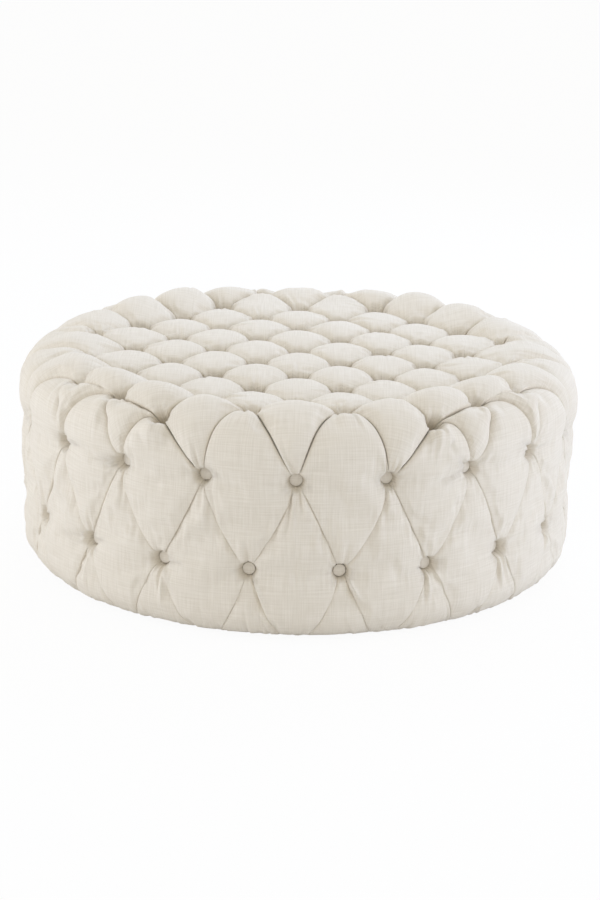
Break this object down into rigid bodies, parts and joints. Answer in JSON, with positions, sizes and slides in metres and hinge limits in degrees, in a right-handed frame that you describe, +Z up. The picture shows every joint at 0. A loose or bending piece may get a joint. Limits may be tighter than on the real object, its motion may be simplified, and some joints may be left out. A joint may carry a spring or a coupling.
{
  "type": "pouf",
  "caption": "Round upholstered pouf with deep diamond buttoning over the seat and down the side, on a hidden plywood and timber frame with low glides",
  "frame": {"origin": "on the floor, under the middle of the pouf", "axes": "+Z up; -Y towards the picture's camera; +X to the right seen from there"},
  "size_m": [1.0896, 1.0896, 0.4194],
  "materials": {
    "cover_cloth": "slubby plain-woven linen-like cloth, cream, matt",
    "button_cloth": "the same cloth drawn over a button, a little darker in its tuft",
    "wadding": "soft white polyester wadding",
    "foam": "open-cell upholstery foam, pale yellow",
    "plywood": "raw birch plywood",
    "timber": "planed softwood, raw",
    "hardboard": "smooth brown hardboard",
    "dust_cloth": "black spun-bonded dust cloth",
    "glide_nylon": "moulded dark grey nylon",
    "washer_nylon": "moulded natural nylon",
    "twine": "waxed polyester tufting twine",
    "zinc_steel": "bright zinc plate"
  },
  "bodies": {
    "root": {"glides": "glide_nylon", "glide_nails": "zinc_steel", "dust_cover": "dust_cloth", "dust_cover_staples": "zinc_steel", "base_ring": "plywood", "wall_posts": "timber", "deck_posts": "timber", "deck_rails": "timber", "deck": "plywood", "wall_panel": "hardboard", "base_screws": "zinc_steel", "deck_screws": "zinc_steel", "wall_pins": "zinc_steel", "seat_foam": "foam", "side_foam": "foam", "seat_wadding": "wadding", "side_wadding": "wadding", "seat_cover": "cover_cloth", "side_cover": "cover_cloth", "seat_buttons": "button_cloth", "rim_buttons": "button_cloth", "upper_side_buttons": "button_cloth", "lower_side_buttons": "button_cloth", "seat_twines": "twine", "rim_twines": "twine", "side_twines": "twine", "deck_washers": "washer_nylon", "wall_washers": "washer_nylon"}
  },
  "joints": []
}
